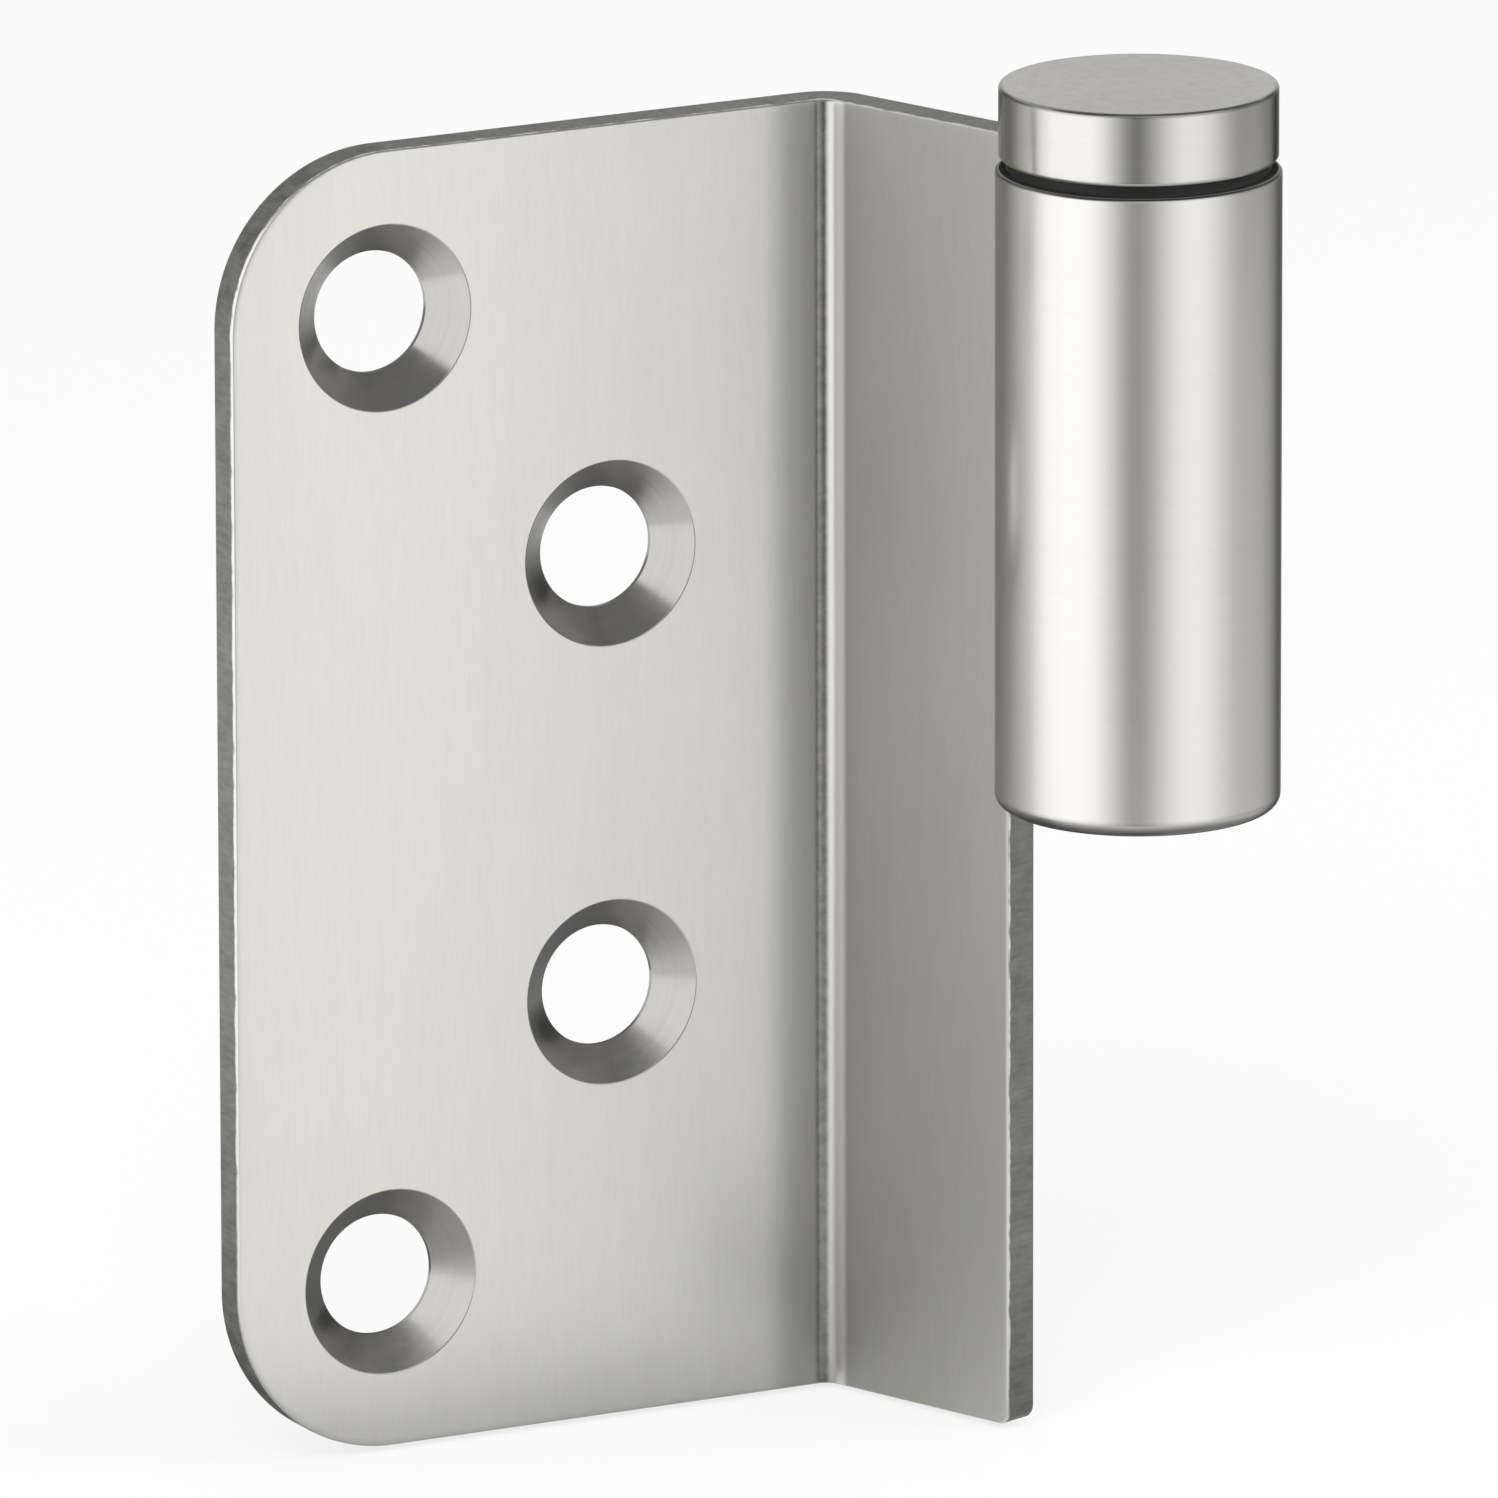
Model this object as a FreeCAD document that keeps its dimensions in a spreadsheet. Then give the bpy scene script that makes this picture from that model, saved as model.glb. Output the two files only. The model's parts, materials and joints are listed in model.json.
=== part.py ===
"""Door-side leaf of a two-part lift-off commercial door hinge, in millimetres.

The frame has +Z up along the knuckle axis, with its origin at the mouth of the pin bore, at half the leaf's
height. The main flange is parallel to XZ on the -X side, and its countersunk face looks along -Y.
"""
import FreeCAD, Part
import math
import os

import Sketcher

NEAR = 1e-4

SIZES = [
    ("leaf_height", 100.0, "leaf, bottom edge to top edge"),
    ("main_flange_width", 50.0, "countersunk face, from its free edge to the inner bend corner"),
    ("knuckle_flange_width", 18.25, "second flange, from the inner bend corner to its lower free edge"),
    ("sheet_thickness", 3.0, "leaf sheet"),
    ("bend_angle", 70.0, "turn of the second flange out of the main flange, in degrees"),
    ("bend_radius", 1.3, "inside of the bend"),
    ("corner_radius", 13.0, "two outer corners of the main flange"),
    ("leaf_edge_round", 0.4, "deburred outline of the sheet"),
    ("screw_hole_diameter", 9.3, "clearance hole below the countersink"),
    ("countersink_diameter", 14.3, "countersink at the face"),
    ("countersink_angle", 90.0, "full angle of the countersink, in degrees"),
    ("outer_hole_side_inset", 12.8, "outer hole centres from the free edge"),
    ("outer_hole_end_inset", 12.8, "outer hole centres from the top and bottom edges"),
    ("hole_column_step", 18.8, "outer hole column to inner hole column"),
    ("inner_hole_pitch", 34.0, "between the two inner holes"),
    ("knuckle_diameter", 21.4, "knuckle tube outside"),
    ("knuckle_length", 48.8, "knuckle tube, bottom face to top face"),
    ("knuckle_bore", 16.0, "knuckle tube inside, seat of the bush and of the cap's spigot"),
    ("knuckle_foot_round", 1.1, "bottom outer edge of the knuckle"),
    ("knuckle_top_chamfer", 0.25, "top outer edge of the knuckle"),
    ("axis_offset", 2.1, "knuckle axis behind the front face of the second flange"),
    ("swing_gap", 0.4, "lower free edge to the mating knuckle"),
    ("pin_bore", 14.0, "inside of the bearing bush"),
    ("bush_end_wall", 2.0, "closed end of the bush, on which the pin stands"),
    ("bush_recess", 0.1, "mouth of the bush above the knuckle's bottom face"),
    ("bush_lead_in", 0.4, "chamfer at the mouth of the bush"),
    ("ring_thickness", 0.9, "spacer ring"),
    ("ring_diameter", 19.8, "spacer ring outside"),
    ("ring_clearance", 0.1, "spacer ring on the spigot, all round"),
    ("cap_diameter", 20.9, "end cap outside"),
    ("cap_height", 5.5, "end cap above the ring"),
    ("cap_top_chamfer", 0.3, "top edge of the cap"),
    ("cap_foot_chamfer", 0.25, "bottom edge of the cap"),
    ("spigot_length", 6.0, "cap spigot inside the knuckle"),
    ("spigot_chamfer", 0.6, "end of the spigot"),
]

doc = FreeCAD.newDocument("door_hinge_leaf")


# Driving sizes

def add_sizes():
    """Write every driving size to the sheet, with its alias and a note."""
    sheet = doc.addObject("Spreadsheet::Sheet", "sizes")
    for row, (alias, value, note) in enumerate(SIZES, start=1):
        sheet.set("A%d" % row, alias)
        sheet.set("B%d" % row, str(value))
        sheet.set("C%d" % row, note)
        sheet.setAlias("B%d" % row, alias)
    doc.recompute()


def size(alias):
    """Give a driving size as a number, for finding edges and for first sketch positions."""
    return float(doc.getObject("sizes").get(alias))


# Sketch and feature helpers

def add_body(label):
    """Start a body whose label names its node."""
    body = doc.addObject("PartDesign::Body", label)
    body.Label = label
    return body


def add_sketch(body, name, role="XY_Plane"):
    """Start a sketch on one of the body's own origin planes."""
    sketch = body.newObject("Sketcher::SketchObject", name)
    plane = [item for item in body.Origin.OriginFeatures if item.Role == role][0]
    sketch.AttachmentSupport = [(plane, "")]
    sketch.MapMode = "FlatFace"
    return sketch


def bind(sketch, constraint, expression):
    """Add a dimension to a sketch and bind it to the sheet."""
    index = sketch.addConstraint(constraint)
    sketch.setExpression("Constraints[%d]" % index, expression)


def add_circle(sketch, diameter):
    """Draw a circle about the sketch origin, with its diameter bound to the sheet."""
    circle = sketch.addGeometry(Part.Circle(FreeCAD.Vector(), FreeCAD.Vector(0, 0, 1), 1.0))
    sketch.addConstraint(Sketcher.Constraint("Coincident", circle, 3, -1, 1))
    bind(sketch, Sketcher.Constraint("Diameter", circle, 1.0), diameter)


def add_pad(body, name, sketch, length, downward=False):
    """Pad a sketch on one side by a bound length."""
    pad = body.newObject("PartDesign::Pad", name)
    pad.Profile = sketch
    pad.Reversed = downward
    pad.setExpression("Length", length)
    doc.recompute()
    return pad


def cut_through(body, name, sketch, upward):
    """Cut a sketch through all on one side, and make sure that something was cut."""
    before = body.Shape.Volume
    pocket = body.newObject("PartDesign::Pocket", name)
    pocket.Profile = sketch
    pocket.Type = "ThroughAll"
    pocket.Reversed = upward
    doc.recompute()
    if body.Shape.Volume > before - NEAR:
        raise RuntimeError(name + " cuts nothing")
    return pocket


def dress(body, kind, name, edges, amount):
    """Fillet or chamfer the named edges of the body's tip by a bound amount."""
    if not edges:
        raise RuntimeError(name + " finds no edge")
    base = body.Tip
    feature = body.newObject("PartDesign::" + kind, name)
    feature.Base = (base, edges)
    feature.setExpression("Radius" if kind == "Fillet" else "Size", amount)
    doc.recompute()
    return feature


def pick_edges(body, wanted):
    """Name the edges of the body's tip that a test accepts."""
    return ["Edge%d" % number for number, edge in enumerate(body.Tip.Shape.Edges, start=1) if wanted(edge)]


def rim(radius, height):
    """Make a test for a full circular edge of one radius at one height about the body's Z axis."""
    def wanted(edge):
        curve = edge.Curve
        if not isinstance(curve, Part.Circle):
            return False
        return abs(curve.Radius - radius) < NEAR and abs(curve.Center.z - height) < NEAR
    return wanted


# Folded leaf

# The lower free edge keeps clear of the knuckle and of the cap, whichever is larger
TURNED_OUTSIDE = "max(sizes.knuckle_diameter; sizes.cap_diameter)"
AXIS_REACH = "(sizes.knuckle_flange_width + sizes.swing_gap + %s / 2)" % TURNED_OUTSIDE


def add_leaf_section(body):
    """Draw the sheet's bent section, with the inner bend corner at the origin."""
    sketch = add_sketch(body, "leaf_section")
    width, thickness, radius = size("main_flange_width"), size("sheet_thickness"), size("bend_radius")
    width_two = size("knuckle_flange_width")
    bend = math.radians(size("bend_angle"))
    setback = radius * math.tan(bend / 2)
    along = FreeCAD.Vector(math.cos(bend), -math.sin(bend), 0)
    across = FreeCAD.Vector(math.sin(bend), math.cos(bend), 0)
    up = FreeCAD.Vector(0, 0, 1)
    back = FreeCAD.Vector(0, thickness, 0)
    centre = FreeCAD.Vector(-setback, -radius, 0)
    free_edge = FreeCAD.Vector(-width, 0, 0)
    bend_start = FreeCAD.Vector(-setback, 0, 0)
    bend_end = along * setback
    tip = along * width_two

    def arc(arc_radius):
        circle = Part.Circle(centre, up, arc_radius)
        return Part.ArcOfCircle(circle, math.pi / 2 - bend, math.pi / 2)

    front = sketch.addGeometry(Part.LineSegment(free_edge, bend_start))
    inner = sketch.addGeometry(arc(radius))
    front_two = sketch.addGeometry(Part.LineSegment(bend_end, tip))
    end_two = sketch.addGeometry(Part.LineSegment(tip, tip + across * thickness))
    back_two = sketch.addGeometry(Part.LineSegment(tip + across * thickness, bend_end + across * thickness))
    outer = sketch.addGeometry(arc(radius + thickness))
    back_one = sketch.addGeometry(Part.LineSegment(bend_start + back, free_edge + back))
    end_one = sketch.addGeometry(Part.LineSegment(free_edge + back, free_edge))

    sketch.addConstraint([
        Sketcher.Constraint("Tangent", front, 2, inner, 2),
        Sketcher.Constraint("Tangent", inner, 1, front_two, 1),
        Sketcher.Constraint("Coincident", front_two, 2, end_two, 1),
        Sketcher.Constraint("Coincident", end_two, 2, back_two, 1),
        Sketcher.Constraint("Tangent", back_two, 2, outer, 1),
        Sketcher.Constraint("Tangent", outer, 2, back_one, 1),
        Sketcher.Constraint("Coincident", back_one, 2, end_one, 1),
        Sketcher.Constraint("Coincident", end_one, 2, front, 1),
        Sketcher.Constraint("Coincident", inner, 3, outer, 3),
        Sketcher.Constraint("PointOnObject", front, 1, -1),
        Sketcher.Constraint("Horizontal", front),
        Sketcher.Constraint("Horizontal", back_one),
        Sketcher.Constraint("Vertical", end_one),
        Sketcher.Constraint("Perpendicular", front_two, end_two),
        Sketcher.Constraint("Parallel", front_two, back_two),
        Sketcher.Constraint("PointOnObject", -1, 1, front_two),
    ])
    bind(sketch, Sketcher.Constraint("DistanceX", front, 1, -1, 1, width), "sizes.main_flange_width")
    bind(sketch, Sketcher.Constraint("DistanceY", front, 1, end_one, 1, thickness), "sizes.sheet_thickness")
    bind(sketch, Sketcher.Constraint("Radius", inner, radius), "sizes.bend_radius")
    bind(sketch, Sketcher.Constraint("Angle", front_two, 1, -1, 1, bend), "sizes.bend_angle * 1 deg")
    reach = Sketcher.Constraint("Distance", -1, 1, front_two, 2, width_two)
    bind(sketch, reach, "sizes.knuckle_flange_width")
    return sketch


def place_on_second_flange(sketch):
    """Turn a sketch so that its x runs along the second flange's front face and its y into the sheet."""
    sketch.setExpression("AttachmentOffset.Rotation.Angle", "-sizes.bend_angle * 1 deg")


def add_knuckle_land(body):
    """Lengthen the upper half of the second flange towards the knuckle axis, as high as the knuckle."""
    sketch = add_sketch(body, "knuckle_land_outline")
    place_on_second_flange(sketch)
    corners = [FreeCAD.Vector(*point) for point in ((1, 0, 0), (3, 0, 0), (3, 1, 0), (1, 1, 0))]
    sides = zip(corners, corners[1:] + corners[:1])
    front, tip, back, root = [sketch.addGeometry(Part.LineSegment(*ends)) for ends in sides]
    sketch.addConstraint([
        Sketcher.Constraint("Coincident", front, 2, tip, 1),
        Sketcher.Constraint("Coincident", tip, 2, back, 1),
        Sketcher.Constraint("Coincident", back, 2, root, 1),
        Sketcher.Constraint("Coincident", root, 2, front, 1),
        Sketcher.Constraint("Horizontal", front),
        Sketcher.Constraint("Horizontal", back),
        Sketcher.Constraint("Vertical", tip),
        Sketcher.Constraint("Vertical", root),
        Sketcher.Constraint("PointOnObject", front, 1, -1),
    ])
    root_inset = "sizes.knuckle_flange_width - sizes.sheet_thickness"
    bind(sketch, Sketcher.Constraint("DistanceX", -1, 1, front, 1, 1.0), root_inset)
    bind(sketch, Sketcher.Constraint("DistanceX", -1, 1, front, 2, 3.0), AXIS_REACH)
    bind(sketch, Sketcher.Constraint("DistanceY", tip, 1, tip, 2, 1.0), "sizes.sheet_thickness")
    below_top_round = "sizes.leaf_height / 2 - sizes.leaf_edge_round"
    add_pad(body, "knuckle_land", sketch, "min(sizes.knuckle_length; %s)" % below_top_round)


def add_knuckle_seat(body):
    """Cope the land to the knuckle's outside."""
    sketch = add_sketch(body, "knuckle_seat_outline")
    place_on_second_flange(sketch)
    circle = sketch.addGeometry(Part.Circle(FreeCAD.Vector(1, 1, 0), FreeCAD.Vector(0, 0, 1), 1.0))
    bind(sketch, Sketcher.Constraint("DistanceX", -1, 1, circle, 3, 1.0), AXIS_REACH)
    bind(sketch, Sketcher.Constraint("DistanceY", -1, 1, circle, 3, 1.0), "sizes.axis_offset")
    bind(sketch, Sketcher.Constraint("Diameter", circle, 1.0), "sizes.knuckle_diameter")
    cut_through(body, "knuckle_seat", sketch, upward=True)


def is_outer_corner(edge):
    """Accept the two edges through the sheet at the main flange's free edge."""
    first, last = edge.Vertexes[0].Point, edge.Vertexes[-1].Point
    at_free_edge = max(abs(point.x + size("main_flange_width")) for point in (first, last)) < NEAR
    return at_free_edge and abs(first.z - last.z) < NEAR


def is_leaf_outline(edge):
    """Accept the whole outline of the folded sheet, and leave out the four edges along the bend."""
    points = edge.discretize(5)
    bend = math.radians(size("bend_angle"))
    along = FreeCAD.Vector(math.cos(bend), -math.sin(bend), 0)
    at_end = all(abs(abs(point.z) - size("leaf_height") / 2) < NEAR for point in points)
    at_side = all(point.x < -size("main_flange_width") + size("corner_radius") + NEAR for point in points)
    at_free_edge = all(abs(point.dot(along) - size("knuckle_flange_width")) < NEAR for point in points)
    across_side = at_side and abs(points[0].y - points[-1].y) > NEAR
    return (at_end or at_side or at_free_edge) and not across_side


def add_screw_holes(body):
    """Drill and countersink the four screw holes through the main flange, from its front face."""
    sketch = add_sketch(body, "screw_hole_centres", "XZ_Plane")
    outer_inset = "sizes.main_flange_width - sizes.outer_hole_side_inset"
    columns = [
        (outer_inset, "sizes.leaf_height / 2 - sizes.outer_hole_end_inset"),
        (outer_inset + " - sizes.hole_column_step", "sizes.inner_hole_pitch / 2"),
    ]
    for from_bend, from_middle in columns:
        for upward in (1, -1):
            centre = FreeCAD.Vector(-1, upward, 0)
            circle = sketch.addGeometry(Part.Circle(centre, FreeCAD.Vector(0, 0, 1), 1.0))
            bind(sketch, Sketcher.Constraint("DistanceX", circle, 3, -1, 1, 1.0), from_bend)
            middle, point = ((-1, 1), (circle, 3)) if upward > 0 else ((circle, 3), (-1, 1))
            bind(sketch, Sketcher.Constraint("DistanceY", *middle, *point, 1.0), from_middle)
            bind(sketch, Sketcher.Constraint("Diameter", circle, 1.0), "sizes.screw_hole_diameter")
    doc.recompute()
    before = body.Shape.Volume
    hole = body.newObject("PartDesign::Hole", "screw_holes")
    hole.Profile = sketch
    hole.DepthType = "ThroughAll"
    hole.HoleCutType = "Countersink"
    hole.HoleCutCustomValues = True
    hole.setExpression("Diameter", "sizes.screw_hole_diameter")
    hole.setExpression("HoleCutDiameter", "sizes.countersink_diameter")
    hole.setExpression("HoleCutCountersinkAngle", "sizes.countersink_angle * 1 deg")
    doc.recompute()
    if body.Shape.Volume > before - NEAR:
        raise RuntimeError("screw_holes cuts nothing")


def add_hinge_leaf():
    """Fold the sheet, round its corners, fit it to the knuckle, deburr it and drill it."""
    body = add_body("hinge_leaf")
    pad = body.newObject("PartDesign::Pad", "folded_sheet")
    pad.Profile = add_leaf_section(body)
    pad.SideType = "Symmetric"
    pad.setExpression("Length", "sizes.leaf_height")
    doc.recompute()
    dress(body, "Fillet", "outer_corners", pick_edges(body, is_outer_corner), "sizes.corner_radius")
    dress(body, "Fillet", "deburred_edges", pick_edges(body, is_leaf_outline), "sizes.leaf_edge_round")
    add_knuckle_land(body)
    add_knuckle_seat(body)
    add_screw_holes(body)
    turn = "sizes.bend_angle * 1 deg"
    body.setExpression(
        "Placement.Base.x", "-%s * cos(%s) - sizes.axis_offset * sin(%s)" % (AXIS_REACH, turn, turn))
    body.setExpression(
        "Placement.Base.y", "%s * sin(%s) - sizes.axis_offset * cos(%s)" % (AXIS_REACH, turn, turn))
    return body


# Knuckle and its inner pieces

def add_knuckle_tube():
    """Turn the knuckle, with a rounded foot and a broken top edge."""
    body = add_body("knuckle_tube")
    sketch = add_sketch(body, "knuckle_section")
    add_circle(sketch, "sizes.knuckle_diameter")
    add_circle(sketch, "sizes.knuckle_bore")
    add_pad(body, "knuckle_length", sketch, "sizes.knuckle_length")
    radius = size("knuckle_diameter") / 2
    dress(body, "Fillet", "knuckle_foot", pick_edges(body, rim(radius, 0.0)), "sizes.knuckle_foot_round")
    top = pick_edges(body, rim(radius, size("knuckle_length")))
    dress(body, "Chamfer", "knuckle_top", top, "sizes.knuckle_top_chamfer")
    return body


BUSH_LENGTH = "sizes.knuckle_length - sizes.spigot_length - sizes.bush_recess"


def add_bearing_bush():
    """Mould the bush as a cup, open at the mouth of the knuckle and closed below the cap's spigot."""
    body = add_body("bearing_bush")
    outside = add_sketch(body, "bush_outside")
    add_circle(outside, "sizes.knuckle_bore")
    add_pad(body, "bush_length", outside, BUSH_LENGTH)
    inside = add_sketch(body, "bush_inside")
    add_circle(inside, "sizes.pin_bore")
    before = body.Shape.Volume
    bore = body.newObject("PartDesign::Pocket", "pin_bore")
    bore.Profile = inside
    bore.Reversed = True
    bore.setExpression("Length", BUSH_LENGTH + " - sizes.bush_end_wall")
    doc.recompute()
    if body.Shape.Volume > before - NEAR:
        raise RuntimeError("pin_bore cuts nothing")
    mouth = pick_edges(body, rim(size("pin_bore") / 2, 0.0))
    dress(body, "Chamfer", "bush_lead_in", mouth, "sizes.bush_lead_in")
    body.setExpression("Placement.Base.z", "sizes.bush_recess")
    return body


def add_cap_ring():
    """Cut the spacer ring that keeps the cap off the knuckle."""
    body = add_body("cap_ring")
    sketch = add_sketch(body, "ring_section")
    add_circle(sketch, "sizes.ring_diameter")
    add_circle(sketch, "sizes.knuckle_bore + 2 * sizes.ring_clearance")
    add_pad(body, "ring_thickness", sketch, "sizes.ring_thickness")
    body.setExpression("Placement.Base.z", "sizes.knuckle_length")
    return body


def add_end_cap():
    """Turn the cap, with a spigot that goes through the ring into the knuckle."""
    body = add_body("end_cap")
    disc = add_sketch(body, "cap_outline")
    add_circle(disc, "sizes.cap_diameter")
    add_pad(body, "cap_disc", disc, "sizes.cap_height")
    spigot = add_sketch(body, "spigot_outline")
    add_circle(spigot, "sizes.knuckle_bore")
    spigot_reach = "sizes.spigot_length + sizes.ring_thickness"
    add_pad(body, "spigot", spigot, spigot_reach, downward=True)
    radius = size("cap_diameter") / 2
    top = pick_edges(body, rim(radius, size("cap_height")))
    dress(body, "Chamfer", "cap_top", top, "sizes.cap_top_chamfer")
    dress(body, "Chamfer", "cap_foot", pick_edges(body, rim(radius, 0.0)), "sizes.cap_foot_chamfer")
    spigot_end = rim(size("knuckle_bore") / 2, -size("spigot_length") - size("ring_thickness"))
    dress(body, "Chamfer", "spigot_end", pick_edges(body, spigot_end), "sizes.spigot_chamfer")
    body.setExpression("Placement.Base.z", "sizes.knuckle_length + sizes.ring_thickness")
    return body


# Checks and files

def check_document(bodies):
    """Stop if any object failed or any piece isn't one valid solid."""
    doc.recompute()
    for item in doc.Objects:
        if "Invalid" in item.State or "Error" in item.State:
            raise RuntimeError("%s failed: %s" % (item.Name, item.State))
    for body in bodies:
        if body.Shape.isNull() or not body.Shape.isValid() or len(body.Shape.Solids) != 1:
            raise RuntimeError(body.Label + " isn't one valid solid")


def main():
    """Build every piece, check it and write its file."""
    add_sizes()
    bodies = [add_hinge_leaf(), add_knuckle_tube(), add_bearing_bush(), add_cap_ring(), add_end_cap()]
    check_document(bodies)
    os.makedirs("parts", exist_ok=True)
    for body in bodies:
        body.Shape.exportStep("parts/%s.step" % body.Label)
        print("%-14s %10.2f mm3" % (body.Label, body.Shape.Volume))


main()
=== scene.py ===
"""Door-side leaf of a lift-off door hinge: fine pieces, finishes and a studio stage, in metres.

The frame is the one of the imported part: +Z up along the knuckle axis, the main flange's countersunk face
towards -Y.
"""

import json
import math

import bmesh
import bpy
from bpy.props import FloatProperty, FloatVectorProperty, IntProperty, PointerProperty
from mathutils import Matrix, Vector


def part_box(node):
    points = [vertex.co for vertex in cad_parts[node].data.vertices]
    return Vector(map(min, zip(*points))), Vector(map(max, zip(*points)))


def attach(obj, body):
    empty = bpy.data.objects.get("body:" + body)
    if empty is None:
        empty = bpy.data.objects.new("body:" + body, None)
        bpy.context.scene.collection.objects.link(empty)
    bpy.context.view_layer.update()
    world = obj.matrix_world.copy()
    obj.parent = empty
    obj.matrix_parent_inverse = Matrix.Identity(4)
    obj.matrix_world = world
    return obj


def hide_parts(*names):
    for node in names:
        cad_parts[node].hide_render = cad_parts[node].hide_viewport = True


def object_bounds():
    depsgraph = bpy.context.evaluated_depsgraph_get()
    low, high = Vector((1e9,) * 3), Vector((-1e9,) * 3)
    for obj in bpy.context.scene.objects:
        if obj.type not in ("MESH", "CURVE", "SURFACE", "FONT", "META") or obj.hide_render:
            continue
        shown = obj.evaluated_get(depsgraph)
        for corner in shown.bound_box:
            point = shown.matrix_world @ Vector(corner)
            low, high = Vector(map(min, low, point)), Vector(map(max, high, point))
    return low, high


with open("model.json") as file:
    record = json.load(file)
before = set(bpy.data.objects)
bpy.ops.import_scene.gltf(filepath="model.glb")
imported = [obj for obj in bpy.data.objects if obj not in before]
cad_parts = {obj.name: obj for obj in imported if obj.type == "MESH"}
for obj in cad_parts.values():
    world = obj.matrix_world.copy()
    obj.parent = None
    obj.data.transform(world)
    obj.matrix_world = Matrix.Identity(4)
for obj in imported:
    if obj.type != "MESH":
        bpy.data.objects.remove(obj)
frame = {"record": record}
CAD_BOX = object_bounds()

bl_info = {
    "name": "Door hinge leaf",
    "version": (1, 0, 0),
    "blender": (4, 5, 0),
    "location": "3D View > Sidebar > Hinge",
    "description": "Builds a folded stainless hinge leaf with its turned knuckle, and a studio stage",
    "category": "Object",
}

MM = 0.001
NEAR = 1e-6
BODY = "root"
BLANK_MAP = "blank"
WHITE = (1.0, 1.0, 1.0, 1.0)
MOUNTS = {mount["name"]: mount for mount in frame["record"]["mounts"]}
LEAF_LOW, LEAF_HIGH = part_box("hinge_leaf")
TUBE_LOW, TUBE_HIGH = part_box("knuckle_tube")
BUSH_LOW, BUSH_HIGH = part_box("bearing_bush")
RING_LOW, RING_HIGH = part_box("cap_ring")
CAP_LOW, CAP_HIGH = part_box("end_cap")

# Material slots of the leaf, and of the knuckle and the cap
FACE_FINISH, BACK_FINISH, EDGE_FINISH, HOLE_FINISH = range(4)
SIDE_FINISH, END_FINISH = range(2)

# Numbers of faces round the holes, the bend, the corners and the edges
HOLE_STEPS, BEND_STEPS = 96, 14
CORNER_STEPS, FREE_CORNER_STEPS, EDGE_STEPS = 40, 8, 6
FOOT_STEPS, RIM_STEPS, RING_STEPS, BREAK_STEPS = 8, 5, 3, 2


# Settings that a user would change

def length(name, value, note):
    """Make a length setting."""
    return FloatProperty(name=name, description=note, default=value, precision=5, unit="LENGTH")


def angle(name, degrees, note):
    """Make an angle setting."""
    return FloatProperty(name=name, description=note, default=math.radians(degrees), subtype="ANGLE")


def share(name, value, note):
    """Make a setting from nought to one."""
    return FloatProperty(name=name, description=note, default=value, min=0.0, max=1.0, subtype="FACTOR")


def level(name, value, note):
    """Make a light level, where one is white."""
    return FloatProperty(name=name, description=note, default=value, min=0.0)


def colour(name, value, note):
    """Make a colour setting."""
    return FloatVectorProperty(
        name=name, description=note, default=value, size=3, min=0.0, max=1.0, subtype="COLOR")


class LeafSizes(bpy.types.PropertyGroup):
    """Sizes of the folded leaf."""
    thickness: length("Sheet", 3.0 * MM, "Thickness of the leaf's sheet")
    main_width: length("Main flange", 50.0 * MM, "Free edge to the inner bend corner")
    second_width: length("Second flange", 18.25 * MM, "Inner bend corner to the lower free edge")
    bend_angle: angle("Bend", 70.0, "Turn of the second flange out of the main one")
    bend_radius: length("Bend radius", 1.3 * MM, "Inside of the bend")
    corner_radius: length("Corner radius", 13.0 * MM, "Two outer corners of the main flange")
    free_corner: length("Free corner", 1.1 * MM, "Two corners at the second flange's free edge")
    edge_round: length("Edge round", 0.25 * MM, "Deburred outline of the sheet")
    roll_width: length("Roll width", 0.6 * MM, "Soft fall of the front face towards its cut edge")
    roll_depth: length("Roll depth", 0.03 * MM, "How far the front face falls there")
    countersink: length("Countersink", 7.15 * MM, "Radius of the countersinks at the face")
    rim_break: length("Rim break", 0.12 * MM, "Broken edge round each countersink")
    axis_offset: length("Axis offset", 2.1 * MM, "Knuckle axis behind the second flange's front face")


class TurnedSizes(bpy.types.PropertyGroup):
    """Sizes of the turned and moulded pieces."""
    foot_round: length("Knuckle foot", 1.1 * MM, "Round at the knuckle's bottom edge")
    top_round: length("Knuckle top", 0.3 * MM, "Round at the knuckle's top edge")
    mouth_break: length("Knuckle mouth", 0.3 * MM, "Broken edge of the bore at the bottom face")
    cap_top_round: length("Cap top", 0.3 * MM, "Round at the cap's top edge")
    cap_foot_round: length("Cap foot", 0.3 * MM, "Round at the cap's bottom edge")
    spigot_break: length("Spigot end", 0.6 * MM, "Broken edge at the end of the cap's spigot")
    ring_round: length("Ring round", 0.2 * MM, "Rounded outside of the spacer ring")
    ring_hole: length("Ring hole", 8.1 * MM, "Radius of the hole in the spacer ring")
    bush_floor: length("Bush floor", 2.0 * MM, "Closed end of the bush")
    bush_lead_in: length("Bush lead-in", 0.4 * MM, "Broken edge at the mouth of the bush")
    steps: IntProperty(name="Steps", description="Faces round each turned piece", default=160, min=24)


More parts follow.
